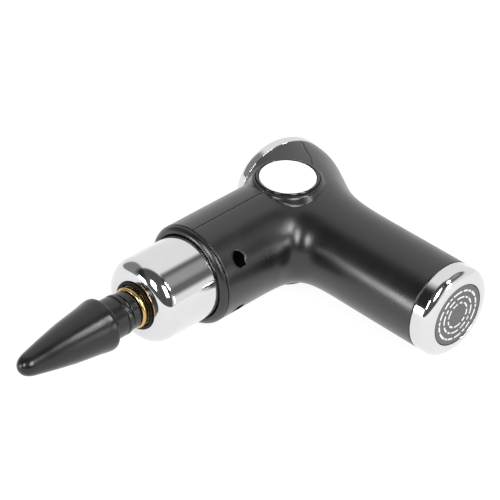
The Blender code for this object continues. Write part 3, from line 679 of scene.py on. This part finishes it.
def end_ring(name, node, radius, depth, end_r, axis, point, rounding):
    """A chrome end ring: straight side, rounded shoulder, open middle, spigot inside."""
    points = [(end_r, depth)]
    for i in range(1, SHOULDER_STEPS + 1):
        angle = math.pi / 2 * i / SHOULDER_STEPS
        r = end_r + (radius - end_r) * math.sin(angle)
        points.append((r, depth - rounding * (1 - math.cos(angle))))
    inner = radius - WALL - GAP
    points += [(radius, GAP / 2), (inner, GAP / 2), (inner, -1.5)]
    points += [(inner - 1.4, -1.5), (inner - 1.4, 1.2)]
    points += [(end_r - 1.5, depth - 3.6), (end_r - 1.5, depth - 2.9), (end_r, depth - 2.4)]
    finish(turned(name, points, axis, point, 0.25, True), "body", "chrome", "", node)


TOP_AT = tuple(TOP_CENTRE)
END_AT = (0, HANDLE_EDGE_Y, 0)
END_DEPTH = HANDLE_EDGE_Y - HANDLE_END_Y
end_ring("top_end_ring", "top_ring", TOP_R, TOP_RING_DEPTH, TOP_END_R, TOP_AXIS, TOP_AT, 4.0)
end_ring("grip_end_ring", "handle_end_ring", HANDLE_R, END_DEPTH, END_DISC_R, -Y_AXIS, END_AT, 3.9)
DISC_DROP = 0.12
profile = disc_profile(TOP_END_R - GAP, TOP_RING_DEPTH - 2.0, TOP_RING_DEPTH - 0.4)
piece = turned("top_cap_plate", profile, TOP_AXIS, TOP_AT, 0.3)
finish(piece, "body", "dark_grey_plastic", "", "top_cap")
profile = disc_profile(END_DISC_R - GAP, END_DEPTH - 2.0, END_DEPTH - DISC_DROP)
piece = turned("end_plate", profile, -Y_AXIS, END_AT, 0.3)
finish(piece, "body", "dark_grey_plastic", "", "handle_end_disc")


DASH_RISE = 0.08
DASH_SUNK = 0.02
DASH_STEP = 0.08


def dashes(name, radius, width, gaps):
    """A ring of raised dashes on the end plate, with a gap after each one."""
    bm = bmesh.new()
    total = sum(length + gap for length, gap in gaps)
    angle = 0.4 * radius
    level = HANDLE_END_Y + DISC_DROP - DASH_SUNK
    for length, gap in gaps:
        start, stop = angle, angle + 2 * math.pi * length / total
        steps = max(2, int((stop - start) / DASH_STEP))
        rims = []
        for k in range(steps + 1):
            a = start + (stop - start) * k / steps
            rim = []
            for r, y in ((-1, 0), (-0.8, -1), (0.8, -1), (1, 0)):
                rr = radius + r * width / 2
                point = world(rr * math.cos(a), level + y * DASH_RISE, rr * math.sin(a))
                rim.append(bm.verts.new(point))
            rims.append(rim)
        for low, high in zip(rims, rims[1:]):
            for i in range(4):
                j = (i + 1) % 4
                bm.faces.new((low[i], low[j], high[j], high[i]))
        bm.faces.new(rims[0][::-1])
        bm.faces.new(rims[-1])
        angle = stop + 2 * math.pi * gap / total
    bmesh.ops.recalc_face_normals(bm, faces=bm.faces)
    mesh = bpy.data.meshes.new(name)
    bm.to_mesh(mesh)
    bm.free()
    finish(add_object(name, mesh), "body", "silver_print", "steel")


# Each dash and the gap after it.
OUTER = [(3.2, 0.7), (1.3, 0.6), (2.2, 0.8), (4.0, 0.7), (1.1, 0.5), (2.6, 0.9)]
MIDDLE = [(2.4, 0.8), (1.2, 0.7), (3.1, 0.9)]
INNER = [(2.6, 0.9), (1.3, 0.8), (1.9, 0.8)]
dashes("end_marks_outer", 11.6, 0.9, OUTER * 3)
dashes("end_marks_middle", 8.6, 0.8, MIDDLE * 4)
dashes("end_marks_inner", 5.9, 0.8, INNER * 3)

# Button and badge.
CUP_TOP = 24.3
cup = [(BUTTON_R + 0.4, CUP_TOP - 0.3), (BUTTON_R + 0.7, CUP_TOP), (CUP_R - 0.4, CUP_TOP)]
cup += [(CUP_R, CUP_TOP - 0.4), (CUP_R, 18.6), (3.4, 18.6), (3.4, 20.0), (BUTTON_R + 0.4, 20.0)]
cap = [(0, 24.5), (BUTTON_R - 0.3, 24.5), (BUTTON_R, 24.2), (BUTTON_R, 22.7)]
cap += [(2.8, 22.7), (2.8, 18.3), (0, 18.3)]
for side, axis, look, body in (
    ("button", Z_AXIS, "white_plastic", "button"),
    ("badge", -Z_AXIS, "dark_grey_plastic", "body"),
):
    piece = turned(f"{side}_cup", cup, axis, BUTTON_AT, 0.25, True)
    finish(piece, "body", "gloss_black_plastic", "", f"{side}_bezel")
    finish(turned(f"{side}_cap", cap, axis, BUTTON_AT, 0.3), body, look, "", f"{side}_disc")


# Floor: dull grey with a glow that brings it to the photograph's white.
FLOOR_GREY = 0.16
FLOOR_GLOW = 0.93
FLOOR_DROP = 0.0002
mesh = bpy.data.meshes.new("floor")
bm = bmesh.new()
bmesh.ops.create_grid(bm, x_segments=1, y_segments=1, size=3.0)
bm.to_mesh(mesh)
bm.free()
floor = add_object("floor", mesh)
floor.location.z = -FLOOR_DROP
mat = bpy.data.materials.new("pale_floor")
mat.use_nodes = True
shader = mat.node_tree.nodes["Principled BSDF"]
shader.inputs["Base Color"].default_value = (FLOOR_GREY, FLOOR_GREY, FLOOR_GREY, 1.0)
shader.inputs["Roughness"].default_value = 1.0
shader.inputs["Specular IOR Level"].default_value = 0.0
shader.inputs["Emission Color"].default_value = (1.0, 1.0, 1.0, 1.0)
shader.inputs["Emission Strength"].default_value = FLOOR_GLOW
mesh.materials.append(mat)
